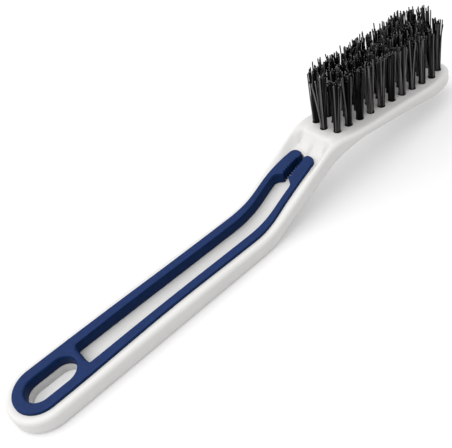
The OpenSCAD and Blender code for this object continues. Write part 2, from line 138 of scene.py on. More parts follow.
class GROUTBRUSH_PG_sizes(bpy.types.PropertyGroup):
    """Sizes of the brush, as its frame has them."""

    butt_r: millimetres(12, "Butt radius", "Radius of the round butt")
    grip_len: millimetres(84.4, "Grip length", "From the butt arc's centre to the start of the bend")
    grip_w: millimetres(21.5, "Grip width", "Width of the handle at the start of the bend")
    rim_h: millimetres(6.6, "Rim height", "Height of the handle's rim above the table")
    grip_crown: millimetres(0.4, "Crown", "How far the rim arches up in the middle of the grip")
    neck_w: millimetres(20.2, "Neck width", "Width of the neck")
    neck_up: degrees(26.6, "Neck rise", "Angle at which the neck rises")
    bend_r: millimetres(27.6, "Bend radius", "Radius of the bend in the rim where the neck begins")
    neck_len: millimetres(24.7, "Neck length", "Straight length of the neck's rim")
    crest_r: millimetres(16, "Crest radius", "Radius over which the neck turns into the head")
    top_edge_r: millimetres(1.6, "Upper rounding", "Rounding of the upper edges")
    back_edge_r: millimetres(1.7, "Lower rounding", "Rounding of the lower edges")
    back_lag: millimetres(0.7, "Back lag", "How far past the rim's bend the back starts to rise")
    back_bend_r: millimetres(19.9, "Back bend", "Radius of the hollow bend in the back")
    back_flatter: degrees(2.8, "Back flatter", "How much flatter the back of the neck rises than its rim")
    back_longer: millimetres(6.7, "Back longer", "How much longer the back's straight run is than the rim's")
    back_crest_r: millimetres(29.7, "Back crest", "Radius of the round bend in the back under the head")
    back_steeper: degrees(2.4, "Back steeper", "How much steeper the head's back falls than its pad")
    pad_down: degrees(9.66, "Pad fall", "Angle at which the bristle pad falls towards the tip")
    pad_w: millimetres(22.8, "Pad width", "Width of the head behind the first tufts")
    tip_w: millimetres(19.7, "Tip width", "Width of the head where its round tip begins")
    tip_len: millimetres(21.7, "Tip length", "Length of the oval tip")
    swell_len: millimetres(5, "Swell", "From the crest to the widest place of the head")
    narrowing_len: millimetres(35, "Narrowing", "From the widest place to where the head stops narrowing")
    tip_reach: millimetres(40.9, "Tip reach", "From the first tuft to where the oval tip begins")
    hang_r: millimetres(5, "Hang hole radius", "Half the width of the hang hole")
    hang_len: millimetres(8.3, "Hang hole length", "Distance between the centres of its two round ends")
    loop_r: millimetres(9.05, "Loop radius", "Radius of the tweezers' loop at the butt")
    loop_blend: millimetres(60, "Loop blend", "Over how much of its length the loop narrows to the legs")
    legs_w: millimetres(15.9, "Legs width", "Width over both legs in the grip")
    neck_legs_w: millimetres(14.2, "Legs in the neck", "Width over both legs in the neck")
    jaw_tip_w: millimetres(10.8, "Jaw tip width", "Width over both jaw tips before their corners are rounded")
    bridge_x: millimetres(16.2, "Bridge end", "From the butt arc's centre to the far end of the bridge")
    slot_half_start: millimetres(4.85, "Slot at the bridge", "Half the slot between the legs at the bridge")
    slot_half_neck: millimetres(4.4, "Slot in the neck", "Half the slot between the legs in the neck")
    tweezers_t: millimetres(4.2, "Tweezers thickness", "Thickness of the tweezers in the grip")
    tweezers_proud: millimetres(1, "Tweezers proud", "How far the tweezers stand above the rim")
    tweezers_straight: millimetres(3.65, "Straight", "Straight length of the tweezers after the bend")
    jaw_dip_r: millimetres(64, "Jaw dip", "Radius of the dip at the jaws")
    floor_dip_r: millimetres(72, "Floor dip", "Radius of the recess floor under the jaws")
    jaw_reach: millimetres(33, "Jaw reach", "From the start of the bend to the tips of the jaws")
    jaw_lead: millimetres(3, "Jaw lead", "From the end of the bend to where the jaws start to taper")
    heel_reach: millimetres(21, "Heel reach", "From the start of the bend to the heels of the jaws")
    heel_run: millimetres(1.8, "Heel chamfer", "Length of the chamfer on each heel")
    gap_half_heel: millimetres(1.4, "Gap at the heels", "Half the gap between the jaws at their heels")
    gap_half_tip: millimetres(1, "Gap at the tips", "Half the gap between the jaws at their tips")
    teeth: count(7, "Teeth", "Number of teeth on each jaw")
    tooth_depth: millimetres(0.7, "Tooth depth", "Depth of the teeth")
    tooth_end: millimetres(1.4, "Tooth end", "Plain stretch between the last tooth and the tip's corner")
    jaw_outer_r: millimetres(2.5, "Outer corner", "Outer corner radius of the jaw tips")
    jaw_inner_r: millimetres(1.2, "Inner corner", "Inner corner radius of the jaw tips")
    recess_clear: millimetres(0.03, "Recess clearance", "Gap between the tweezers and the recess walls")
    floor_clear: millimetres(0.15, "Floor clearance", "Gap between the tweezers and the recess floor")
    cusp_h: millimetres(0.5, "Cusp", "Height of the small cusp in the recess wall between the jaw tips")
    scoop_flat: millimetres(1.4, "Scoop flat", "From the jaw tips to where the scoop starts to climb")
    scoop_len: millimetres(6.1, "Scoop length", "From the jaw tips to the front edge of the pad")
    scoop_half_floor: millimetres(6.1, "Scoop floor", "Half the width of the scoop's floor at the jaw tips")
    scoop_half_end: millimetres(4.9, "Scoop floor's end", "Half the width of the scoop's floor at the pad")
    scoop_half_top: millimetres(9.4, "Scoop top", "Half the width of the scoop at its upper edge")
    ridge_power: number(1.8, "Ridge", "Curve of the scoop's climb")
    ridge_soft: number(0.16, "Ridge rounding", "Rounding of the scoop's upper edge, as a share of its depth")
    ridge_fade: millimetres(2.5, "Ridge fade", "How far past the pad's front edge that rounding fades out")
    corner_depth: millimetres(2.2, "Corner hollows", "Depth of the soft hollows in the scoop's two corners")
    corner_y: millimetres(6.2, "Corner hollow place", "How far each corner hollow lies from the centre line")
    corner_lead: millimetres(3.1, "Corner hollow lead", "How far they lie past the start of the climb")
    middle_depth: millimetres(1.7, "Middle hollow", "Depth of the hollow on the centre line")
    middle_lead: millimetres(1.4, "Middle hollow lead", "How far it lies past the start of the climb")
    hollow_long: millimetres(1.6, "Hollow length", "Half the length of a hollow")
    hollow_wide: millimetres(0.75, "Hollow width", "Half the width of a hollow")
    recess_edge_r: millimetres(0.06, "Recess edge", "Rounding of the recess's upper edge")
    hole_edge_r: millimetres(0.4, "Hole edge", "Rounding of the hang hole's lower edge")
    tweezers_edge_r: millimetres(0.28, "Tweezers edge", "Rounding of the tweezers' edges")
    under_edge_r: millimetres(0.3, "Lower edge", "Most that the tweezers' lower edges are rounded")
    bridge_edge_r: millimetres(1.5, "Bridge edge", "Rounding of the bridge's edge at the slot")
    loop_edge_r: millimetres(0.9, "Loop edge", "Rounding of the loop's edge at the hang hole")
    slot_edge_r: millimetres(0.5, "Slot edge", "Rounding of the legs' edges along the slot")
    slot_corner_r: millimetres(0.9, "Slot corner", "Corner radius of the slot at the bridge")
    heel_inner_r: millimetres(1.3, "Heel hollow", "How far the corner before the heel is rounded")
    heel_outer_r: millimetres(0.5, "Heel corner", "How far the heel's own corner is rounded")
    tooth_edge_r: millimetres(0.22, "Tooth edge", "Rounding of the edges along the teeth")


class GROUTBRUSH_PG_tufts(bpy.types.PropertyGroup):
    """Layout and filaments of the tufts."""

    tuft_start: millimetres(0.65, "First tufts", "From the crest of the neck to the first tufts")
    pitch: millimetres(5.7, "Pitch", "Distance between tufts along a row")
    outer_count: count(11, "Outer row", "Tufts in each outer row, with the one drawn in at the tip")
    middle_count: count(10, "Middle row", "Tufts in the middle row")
    middle_lead: millimetres(1.45, "Middle lead", "How far the middle row starts before the outer rows")
    row_half_start: millimetres(5.2, "Row at the start", "Outer row to the centre line at the first tuft")
    row_half_end: millimetres(4.4, "Row at the end", "Outer row to the centre line further on")
    row_half_tip: millimetres(2.2, "Row at the tip", "Distance of the last tufts from the centre line")
    tip_step: millimetres(6.2, "Tip step", "From the last straight place to the tufts at the tip")
    tuft_r: millimetres(1.4, "Tuft radius", "Radius of a tuft at its base")
    # The dark plug at a tuft's foot is painted shade, where the hole's rim shades the tuft
    plug_r: millimetres(1.43, "Plug radius", "Radius of the plug at a tuft's foot")
    plug_h: millimetres(0.35, "Plug height", "How far the plug stands above the pad")
    sunk: millimetres(1.2, "Sunk", "How far the filaments reach down into their hole")
    bristle_len: millimetres(20.2, "Length", "Free length on the centre line at the first tufts")
    bristle_gain: millimetres(2.6, "Gain", "How much longer the filaments are on the centre line at the tip")
    row_gain_start: millimetres(0.7, "Row gain", "Gain in length from row to row at the first tufts")
    row_gain_end: millimetres(3.4, "Row gain at the tip", "Gain in length from row to row at the tip")
    uneven: millimetres(0.85, "Unevenness", "Spread in the length of single filaments")
    dome: number(0.25, "Dome", "Loss in length for each square millimetre of distance from the tuft's middle")
    bow: millimetres(0.12, "Bow", "How far a filament bows sideways in the middle")
    room: millimetres(0.06, "Room above", "Least gap between the tips and the top of the solid model's box")
    filament_r: millimetres(0.235, "Filament radius", "Radius of a filament")
    filaments: count(27, "Filaments", "Number of filament ends in a tuft")
    fan_across: number(0.5, "Fan across", "Spread of a tuft's tips across the brush, as a share of its base")
    fan_front: number(0.6, "Fan of the front row", "How far its tips spread along the brush")
    fan_behind: number(1.35, "Fan behind", "How far the tips of the other rows spread along the brush")
    fan_tip: number(0.35, "Fan at the tip", "How far the tips of the last tufts spread along the brush")
    tilt: degrees(0.9, "Tilt", "Spread in the tilt of whole tufts")
    stray: millimetres(0.36, "Stray", "How far a filament's tip strays sideways")
    wild: number(0.17, "Wild filaments", "Share of filaments that stand out of their tuft")
    wild_stray: millimetres(1.1, "Wild stray", "How far the tip of such a filament strays")
    lean_start: degrees(1.5, "Lean at the start", "Lean of the first tufts towards the handle")
    lean_fade: millimetres(8, "Lean fade", "Distance over which that lean dies away")
    lean_end: degrees(10, "Lean at the tip", "Lean of the last tufts back from the tip")


class GROUTBRUSH_PG_finish(bpy.types.PropertyGroup):
    """Colours of the mouldings, the filaments and the floor."""

    white: colour("#ebeae8", "Handle", "White of the moulded handle")
    navy: colour("#082b61", "Tweezers", "Navy blue of the tweezers' upper face")
    # Darker navy for the tweezers' walls, picked by their facing: painted shade
    navy_wall: colour("#08254f", "Tweezers' walls", "Navy blue of the tweezers' duller walls")
    nylon_dark: colour("#030303", "Dark nylon", "Darkest filaments")
    nylon_light: colour("#565553", "Light nylon", "Lightest filaments")
    # Grey of the painted highlight on the filaments' cut ends
    nylon_tip: colour("#8a8a88", "Cut ends", "Cut ends of the filaments")
    steel: colour("#b9bdc1", "Anchors", "Plated steel of the anchor plates")
    floor: colour("#ededed", "Floor", "Matt studio floor")
    floor_bounce: colour("#bdbdbd", "Floor bounce", "How the brush itself sees the floor")


class GROUTBRUSH_PG_stage(bpy.types.PropertyGroup):
    """Camera and lights."""

    camera_ahead: millimetres(2.61, "Camera ahead", "Its place along the brush from the butt arc's centre")
    camera_side: millimetres(-156.78, "Camera side", "Its place across the brush")
    camera_up: millimetres(173.79, "Camera height", "Its height above the floor")
    camera_tilt: degrees(45.832, "Camera tilt", "Turn of the camera about X")
    camera_roll: degrees(14.26, "Camera roll", "Turn of the camera about Y")
    camera_turn: degrees(-39.469, "Camera turn", "Turn of the camera about Z")
    lens: number(55.75, "Lens", "Focal length on a 36 mm sensor", unit="CAMERA")
    key_power: number(3.1, "Key light", "Power of the large light overhead", unit="POWER")
    key_size: millimetres(1000, "Key size", "Width of the large light")
    key_place: bpy.props.FloatVectorProperty(
        name="Key place", description="Place of the large light from the middle of the brush",
        default=(-0.36, 0.14, 0.64), subtype="TRANSLATION", unit="LENGTH",
    )
    world_strength: number(0.8, "World", "Strength of the light from all round")
    floor_glow: number(0.17, "Floor glow", "Light that the camera sees on the floor besides its shade")


def measures(group):
    """The group's values under their own names, with lengths in millimetres and angles in radians."""
    values = SimpleNamespace()
    for prop in group.bl_rna.properties:
        if prop.identifier not in ("rna_type", "name"):
            value = getattr(group, prop.identifier)
            is_length = getattr(prop, "unit", "") == "LENGTH"
            setattr(values, prop.identifier, round(value / MM, 5) if is_length else value)
    return values


def ease(t):
    """Smooth step from 0 to 1: three squares less two cubes."""
    c = np.clip(t, 0, 1)
    return c * c * (3 - 2 * c)


def mix(a, b, t):
    """Straight mixture of two values."""
    return a + (b - a) * t


def crank(x, x0, z0, r1, up, run, r2, down):
    """Height of a line that is flat, bends up on an arc, runs straight, and bends down on a second arc."""
    x1, z1 = x0 + r1 * math.sin(up), z0 + r1 * (1 - math.cos(up))
    x2, z2 = x1 + run * math.cos(up), z1 + run * math.sin(up)
    x3 = x2 + r2 * (math.sin(up) + math.sin(down))
    z3 = z2 + r2 * (math.cos(down) - math.cos(up))
    first_arc = z0 + r1 - np.sqrt(np.maximum(r1 * r1 - (x - x0) ** 2, 0))
    second_arc = z2 - r2 * math.cos(up) + np.sqrt(np.maximum(r2 * r2 - (x - x2 - r2 * math.sin(up)) ** 2, 0))
    straight = z1 + (x - x1) * math.tan(up)
    end = z3 - (x - x3) * math.tan(down)
    return np.select([x < x0, x < x1, x < x2, x < x3], [z0 + 0 * x, first_arc, straight, second_arc], end)


class Brush:
    """The main lines of the brush, from its sizes: X from the butt arc's centre, in millimetres."""

    def __init__(self, settings):
        self.__dict__.update(vars(measures(settings.sizes)))
        self.neck_end = self.grip_len + self.bend_r * math.sin(self.neck_up)
        self.rim_end = self.neck_end + self.neck_len * math.cos(self.neck_up)
        self.crest_end = self.rim_end + self.crest_r * (math.sin(self.neck_up) + math.sin(self.pad_down))
        self.first_tuft = self.crest_end + settings.tufts.tuft_start / MM
        self.swell_x = self.crest_end + self.swell_len
        self.narrow_x = self.swell_x + self.narrowing_len
        self.tip_r = self.tip_w / 2
        self.tip_x = self.first_tuft + self.tip_reach
        self.jaw_tip = self.grip_len + self.jaw_reach
        self.heel_x = self.grip_len + self.heel_reach
        self.heel_end = self.heel_x + self.heel_run
        self.jaw_start = self.neck_end + self.jaw_lead
        self.scoop_start = self.jaw_tip + self.scoop_flat
        self.scoop_end = self.jaw_tip + self.scoop_len
        self.corner_x = self.jaw_tip - self.jaw_outer_r
        self.jaw_corner_y = self.legs_half(np.array(self.corner_x)) - self.jaw_outer_r
        self.origin = cad_box[0].x / MM + self.butt_r

    def crown(self, x):
        """Rise of the grip's rim: a squared sine from the butt to the bend."""
        inside = (x > 0) & (x < self.grip_len)
        return np.where(inside, self.grip_crown * np.sin(math.pi * x / self.grip_len) ** 2, 0)

    def rim_z(self, x):
        """Height of the rim."""
        bend = (self.grip_len, self.rim_h, self.bend_r, self.neck_up)
        return self.crown(x) + crank(x, *bend, self.neck_len, self.crest_r, self.pad_down)

    def back_z(self, x):
        """Height of the back."""
        up, down = self.neck_up - self.back_flatter, self.pad_down + self.back_steeper
        run = self.neck_len + self.back_longer
        return crank(x, self.grip_len + self.back_lag, 0, self.back_bend_r, up, run, self.back_crest_r, down)

    def tweezers_z(self, x):
        """Height of the tweezers' upper face, which dips at the jaws."""
        height, radius = self.rim_h + self.tweezers_proud, self.bend_r - self.tweezers_proud
        bend = (self.grip_len, height, radius, self.neck_up)
        return self.crown(x) + crank(x, *bend, self.tweezers_straight, self.jaw_dip_r, 0)

    def floor_z(self, x):
        """Height of the recess floor."""
        height = self.rim_h + self.tweezers_proud - self.tweezers_t
        radius = self.bend_r - self.tweezers_proud + self.tweezers_t
        bend = (self.grip_len, height, radius, self.neck_up)
        return crank(x, *bend, self.tweezers_straight, self.floor_dip_r, 0)

    def under_z(self, x):
        """Height of the tweezers' lower face, a clearance above the recess floor."""
        return self.floor_z(x) + self.floor_clear

    def head_room(self, along):
        """Height over the pad, at a distance along it, at which the solid model's box ends."""
        rise = cad_box[1].z / MM - self.rim_z(np.array(self.first_tuft))
        return (rise + along * math.sin(self.pad_down)) / math.cos(self.pad_down)

    def body_half(self, x):
        """Half the width of the body: a straight taper, a waist at the neck, a swell, and a narrowing to the
        tip."""
        grip, neck, pad = self.grip_w / 2, self.neck_w / 2, self.pad_w / 2
        return np.select(
            [x < self.grip_len, x < self.rim_end, x < self.swell_x],
            [
                mix(self.butt_r, grip, np.maximum(0, x) / self.grip_len),
                mix(grip, neck, ease((x - self.grip_len) / (self.neck_end - self.grip_len))),
                mix(neck, pad, ease((x - self.rim_end) / (self.swell_x - self.rim_end))),
            ],
            mix(pad, self.tip_r, ease((x - self.swell_x) / (self.narrow_x - self.swell_x))),
        )

    def legs_half(self, x):
        """Half the width over both legs: eased from the loop to the grip and the neck, then a squared
        taper."""
        grip, neck = self.legs_w / 2, self.neck_legs_w / 2
        taper = np.clip((x - self.jaw_start) / (self.jaw_tip - self.jaw_start), 0, None) ** 2
        return np.select(
            [x < self.grip_len, x < self.jaw_start],
            [
                mix(self.loop_r, grip, ease(x / self.loop_blend)),
                mix(grip, neck, ease((x - self.grip_len) / (self.jaw_start - self.grip_len))),
            ],
            mix(neck, self.jaw_tip_w / 2, taper),
        )

    def slot_half(self, x):
        """Half the slot between the legs."""
        way = (x - self.bridge_x) / (self.grip_len - self.bridge_x)
        return mix(self.slot_half_start, self.slot_half_neck, ease(way))

    def gap_half(self, x):
        """Half the gap between the jaws."""
        way = (x - self.heel_end) / (self.jaw_tip - self.heel_end)
        return mix(self.gap_half_heel, self.gap_half_tip, way)

    def scoop_floor(self, x):
        """Depth of the scoop below the rim where it is level with the jaws' sides."""
        place = np.minimum(x, self.scoop_start)
        proud = self.tweezers_proud / math.cos(self.neck_up)
        return np.maximum(0, self.rim_z(place) - self.tweezers_z(place) + proud)

    def top_z(self, x, y):
        """Height of the upper face: the rim, less the scoop, which climbs on a power curve and ends in a soft
        ridge (half the sum of the rest v and the root of v squared and the rounding squared), less three soft
        hollows, each a bell curve along and across. The scoop's sides are a smooth step."""
        climb = np.clip((x - self.scoop_start) / (self.scoop_end - self.scoop_start), 0, 2)
        rest = 1 - climb**self.ridge_power
        rest = (rest + np.sqrt(rest**2 + self.ridge_soft**2)) / (1 + math.sqrt(1 + self.ridge_soft**2))
        rest = rest * ease((self.scoop_end + self.ridge_fade - x) / self.ridge_fade)
        depth = np.where(x > self.neck_end, self.scoop_floor(x) * rest, 0)
        hollow = 0
        for deep, lead, place in (
            (self.corner_depth, self.corner_lead, self.corner_y),
            (self.middle_depth, self.middle_lead, 0),
        ):
            along = ((x - self.scoop_start - lead) / self.hollow_long) ** 2
            hollow = hollow + deep * np.exp(-along - ((np.abs(y) - place) / self.hollow_wide) ** 2)
        way = np.clip((x - self.jaw_tip) / (self.scoop_end - self.jaw_tip), 0, 1)
        foot = mix(self.scoop_half_floor, self.scoop_half_end, way)
        across = 1 - ease((np.abs(y) - foot) / (self.scoop_half_top - foot))
        return self.rim_z(x) - across * (depth + hollow)


def arc(centre, radius, start, end, steps):
    """Points and outward directions along an arc, from one angle to another, in degrees: the direction is the
    cosine and sine of the angle, and the point lies a radius along it."""
    angle = np.radians(np.linspace(start, end, steps + 1))
    way = np.stack([np.cos(angle), np.sin(angle)], -1)
    return np.asarray(centre) + radius * way, way


def side(x, half):
    """Points and outward directions along a side line y = half(x): a direction is square to the slope
    there."""
    reach = 0.05
    slope = (half(x + reach) - half(x - reach)) / (2 * reach)
    way = np.stack([-slope, np.ones_like(x)], -1)
    return np.stack([x, half(x)], -1), way / np.linalg.norm(way, axis=1)[:, None]


def line(start, end, steps):
    """Points along a straight line, both ends included."""
    t = np.linspace(0, 1, steps + 1)[:, None]
    return mix(np.asarray(start, float), np.asarray(end, float), t)


def rounded(before, corner, after, reach, steps):
    """Points of a corner rounded by a curve of the second degree that starts and ends at the given reach."""
    before, corner, after = (np.asarray(p, float) for p in (before, corner, after))
    start = corner + (before - corner) * reach / np.linalg.norm(before - corner)
    end = corner + (after - corner) * reach / np.linalg.norm(after - corner)
    t = np.linspace(0, 1, steps + 1)[:, None]
    return (1 - t) ** 2 * start + 2 * t * (1 - t) * corner + t * t * end


def outward(points):
    """Directions to the right of a plan line, from the run between each point's neighbours."""
    run = np.gradient(points, axis=0)
    way = np.stack([run[:, 1], -run[:, 0]], -1)
    return way / np.linalg.norm(way, axis=1)[:, None]


def between(outer, inner, columns):
    """A grid of points that mixes two lines of equal length, from the outer to the inner."""
    t = np.linspace(0, 1, columns + 1)[None, :, None]
    return mix(outer[:, None, :], inner[:, None, :], t)


def raised(plan, z):
    """Plan points with their heights."""
    return np.concatenate([plan, np.broadcast_to(np.asarray(z)[..., None], plan.shape[:-1] + (1,))], -1)


def quarter(radius, steps, grows):
    """Inset r(1 - sin a) and drop r(1 - cos a) along a quarter round, from the flat to the wall, or, if it
    grows, from the wall to the flat."""
    angle = np.linspace(0, math.pi / 2, steps + 1)
    inset, drop = radius * (1 - np.sin(angle)), radius * (1 - np.cos(angle))
    return (inset[::-1], drop[::-1]) if grows else (inset, drop)


def mesh_piece(name, grids, brush, material, mirror=True, smooth=35):
    """One closed mesh from grids of points: neighbours on a grid make quads, the far side is the near one
    mirrored, and points that meet are merged."""
    points, faces, start = [], [], 0
    for grid in grids:
        rows, columns = grid.shape[:2]
        index = np.arange(rows * columns).reshape(rows, columns)
        quads = np.stack([index[:-1, :-1], index[1:, :-1], index[1:, 1:], index[:-1, 1:]], -1).reshape(-1, 4)
        for way in (1, -1) if mirror else (1,):
            points.append(grid.reshape(-1, 3) * [1, way, 1])
            faces.append((quads if way > 0 else quads[:, ::-1]) + start)
            start += rows * columns
    place = (np.concatenate(points) + [brush.origin, 0, 0]) * MM
    mesh = bpy.data.meshes.new(name)
    mesh.from_pydata(place.tolist(), [], np.concatenate(faces).tolist())
    shape = bmesh.new()
    shape.from_mesh(mesh)
    bmesh.ops.remove_doubles(shape, verts=shape.verts, dist=MERGE)
    bmesh.ops.dissolve_degenerate(shape, edges=shape.edges, dist=MERGE / 2)
    if not all(edge.is_manifold for edge in shape.edges):
        raise RuntimeError(f"{name} isn't closed")
    bmesh.ops.recalc_face_normals(shape, faces=shape.faces)
    shape.to_mesh(mesh)
    shape.free()
    return finished(mesh, material, smooth)


def finished(mesh, material, smooth):
    """An object for a mesh, shaded smooth except at edges sharper than the given angle."""
    mesh.materials.append(material)
    mesh.shade_smooth()
    mesh.set_sharp_from_angle(angle=math.radians(smooth))
    piece = bpy.data.objects.new(mesh.name, mesh)
    bpy.context.scene.collection.objects.link(piece)
    return piece


def recess_line(brush, grow, arc_steps, side_x, corner_steps, cusp_steps):
    """Half the recess outline, grown by a distance: butt arc, leg side, jaw corner, and the cusp at the jaw
    tips."""
    butt = arc((0, 0), brush.loop_r + grow, 180, 90, arc_steps)[0]
    leg = np.stack([side_x, brush.legs_half(side_x) + grow], -1)
    corner = arc(
        (brush.corner_x, brush.jaw_corner_y), brush.jaw_outer_r + grow, JAW_CORNER_START, 0, corner_steps
    )[0]
    wall = brush.jaw_tip + grow
    cusp_start = line(corner[-1], (wall, brush.gap_half_tip), cusp_steps)
    cusp = line((wall, brush.gap_half_tip), (wall - brush.cusp_h, 0), cusp_steps)
    return np.concatenate([butt, leg, corner, cusp_start[1:], cusp[1:]])


def hole_line(brush, grow, butt_steps, side_steps, grip_steps):
    """Half the hang hole's outline, grown by a distance, and its outward directions: the quarter round at the
    butt, a straight side, and the quarter round at the grip."""
    radius = brush.hang_r + grow
    butt, butt_way = arc((0, 0), radius, 180, 90, butt_steps)
    straight = line((0, radius), (brush.hang_len, radius), side_steps)[1:]
    grip, grip_way = arc((brush.hang_len, 0), radius, 90, 0, grip_steps)
    way = np.concatenate([butt_way, np.tile([0.0, 1.0], (side_steps, 1)), grip_way[1:]])
    return np.concatenate([butt, straight, grip[1:]]), way


def body_grids(brush):
    """The handle and head: a wall with rounded edges along the outline, an upper face with a recess, and a
    back."""
    arc_steps, leg_steps, corner_steps, cusp_steps, edge_steps, tip_steps = 28, 110, 12, 8, 7, 36
    scoop_steps, head_steps, band_columns, floor_columns, cap_columns = 47, 43, 18, 8, 6
    line_steps = corner_steps + 1 + 2 * cusp_steps
    # Rows of the legs' sides at which the hang hole's band ends and the cap under the jaws starts
    near, far = arc_steps + 16, arc_steps + 100
    # The rows spread from here on, so that they meet a line across the scoop just past the jaws
    spread_x, scoop_line = brush.grip_len + 7.6, brush.jaw_tip + 1.2
    leg_x = np.linspace(0, brush.corner_x, leg_steps + 1)[1:]
    spread = (scoop_line - brush.corner_x) * ease((leg_x - spread_x) / (brush.corner_x - spread_x))
    ridge_end = brush.scoop_end + brush.ridge_fade
    scoop_x = np.linspace(scoop_line, ridge_end, scoop_steps + 1)[1:]
    head_x = np.linspace(ridge_end, brush.tip_x, head_steps + 1)[1:-1]
    butt, butt_way = arc((0, 0), brush.butt_r, 180, 90, arc_steps)
    sides, side_way = side(np.concatenate([leg_x + spread, scoop_x, head_x]), brush.body_half)
    angle = np.radians(np.linspace(90, 0, tip_steps + 1))
    tip = np.stack([brush.tip_x + brush.tip_len * np.cos(angle), brush.tip_r * np.sin(angle)], -1)
    tip_way = np.stack([np.cos(angle) / brush.tip_len, np.sin(angle) / brush.tip_r], -1)
    outline = np.concatenate([butt, sides, tip])
    way = np.concatenate([butt_way, side_way, tip_way / np.linalg.norm(tip_way, axis=1)[:, None]])
    split = arc_steps + leg_steps

    def ring(inset):
        """The outline drawn in by each inset, square to itself."""
        return outline[:, None, :] - way[:, None, :] * np.asarray(inset)[None, :, None]

    def recess(grow):
        """Half the recess's outline, at a distance from its wall."""
        return recess_line(brush, brush.recess_clear + grow, arc_steps, leg_x, corner_steps, cusp_steps)

    def over(plans, height):
        """Plans raised to a height that depends on the place along the brush."""
        return [raised(plan, height(plan[..., 0])) for plan in plans]

    # Wall: upper rounding, flat of the wall, lower rounding
    top_inset, top_drop = quarter(brush.top_edge_r, edge_steps, False)
    back_inset, back_rise = quarter(brush.back_edge_r, edge_steps, True)
    top_plan, back_plan = ring(top_inset), ring(back_inset)
    top_line = raised(top_plan, brush.top_z(top_plan[..., 0], top_plan[..., 1]) - top_drop)
    back_line = raised(back_plan, brush.back_z(back_plan[..., 0]) + back_rise)
    wall = mix(top_line[:, -1:], back_line[:, :1], np.array([0.25, 0.5, 0.75])[None, :, None])
    grids = [np.concatenate([top_line, wall, back_line], 1)]

    # Upper face: a band round the recess up to the line across the scoop, then rows out to the tip
    edge = top_plan[:, 0]
    across = line(edge[split], (edge[split, 0], 0), line_steps)[1:]
    band = between(np.concatenate([edge[: split + 1], across]), recess(brush.recess_edge_r), band_columns)
    rows = between(edge[split:], edge[split:] * [1, 0], line_steps)
    grids += [raised(grid, brush.top_z(grid[..., 0], grid[..., 1])) for grid in (band, rows)]

    # Recess wall with its rounded upper edge
    inset, drop = quarter(brush.recess_edge_r, 5, False)
    columns = [raised(plan, brush.top_z(plan[:, 0], plan[:, 1]) - fall)
               for plan, fall in zip(map(recess, inset), drop)]
    plan = columns[-1][:, :2]
    foot = raised(plan, brush.floor_z(plan[:, 0]))
    grids.append(np.stack(columns + [mix(columns[-1], foot, t) for t in (0.33, 0.67)] + [foot], 1))

    # Recess floor: a band round the hang hole, rows between the legs, and a cap under the jaws
    cap_steps = len(foot) - 1 - far

    def hole(grow):
        """Half the hang hole's outline, grown by a distance."""
        return hole_line(brush, grow, arc_steps, near - arc_steps, cap_steps)[0]

    closing = line(plan[near], (plan[near, 0], 0), cap_steps)
    grids += over([
        between(np.concatenate([plan[:near], closing]), hole(0), floor_columns),
        between(plan[near : far + 1], plan[near : far + 1] * [1, 0], cap_steps),
        between(line(plan[far], (plan[far, 0], 0), cap_steps), plan[far:], cap_columns),
    ], brush.floor_z)

    # Back: a band round the hang hole and rows out to the tip, and the hole's wall between them
    edge = back_plan[:, -1]
    closing = line(edge[near], (edge[near, 0], 0), cap_steps)
    grids += over([
        between(np.concatenate([edge[:near], closing]), hole(brush.hole_edge_r), floor_columns),
        between(edge[near:], edge[near:] * [1, 0], cap_steps),
    ], brush.back_z)
    inset, rise = quarter(brush.hole_edge_r, 4, True)
    upper = raised(hole(0), brush.floor_z(hole(0)[:, 0]))
    lower = [raised(hole(grow), lift) for grow, lift in zip(inset, rise)]
    grids.append(np.stack([upper, mix(upper, lower[0], 0.5)] + lower, 1))
    return grids


def band_solid(outer, outer_way, outer_r, inner, inner_way, inner_r, brush):
    """A closed band of the tweezers, carried along two plan lines: upper face, walls with quarter-round
    edges, and lower face. Directions point out of the band. Also gives the outer and inner profile at the
    band's far end."""
    angle = np.linspace(0, math.pi / 2, 6)

    def edge(points, way, radius):
        """One side of the band: upper quarter round, wall, and lower quarter round."""
        inset, drop = np.outer(radius, 1 - np.sin(angle)), np.outer(radius, 1 - np.cos(angle))
        plan = points[:, None] - way[:, None] * inset[..., None]
        upper = raised(plan, brush.tweezers_z(plan[..., 0]) - drop)
        under_r = np.minimum(radius, brush.under_edge_r)
        inset, rise = np.outer(under_r, 1 - np.sin(angle)), np.outer(under_r, 1 - np.cos(angle))
        plan = points[:, None] - way[:, None] * inset[..., None]
        lower = raised(plan, brush.under_z(plan[..., 0]) + rise)[:, ::-1]
        return np.concatenate([upper, mix(upper[:, -1:], lower[:, :1], 0.5), lower], 1)

    outside, inside = edge(outer, outer_way, outer_r), edge(inner, inner_way, inner_r)
    face = between(outside[:, 0, :2], inside[:, 0, :2], BAND_COLUMNS)
    under = between(inside[:, -1, :2], outside[:, -1, :2], BAND_COLUMNS)
    face, under = raised(face, brush.tweezers_z(face[..., 0])), raised(under, brush.under_z(under[..., 0]))
    band = np.concatenate([face, inside[:, 1:-1], under, outside[:, -2:0:-1], face[:, :1]], 1)
    return band, outside[-1], inside[-1]


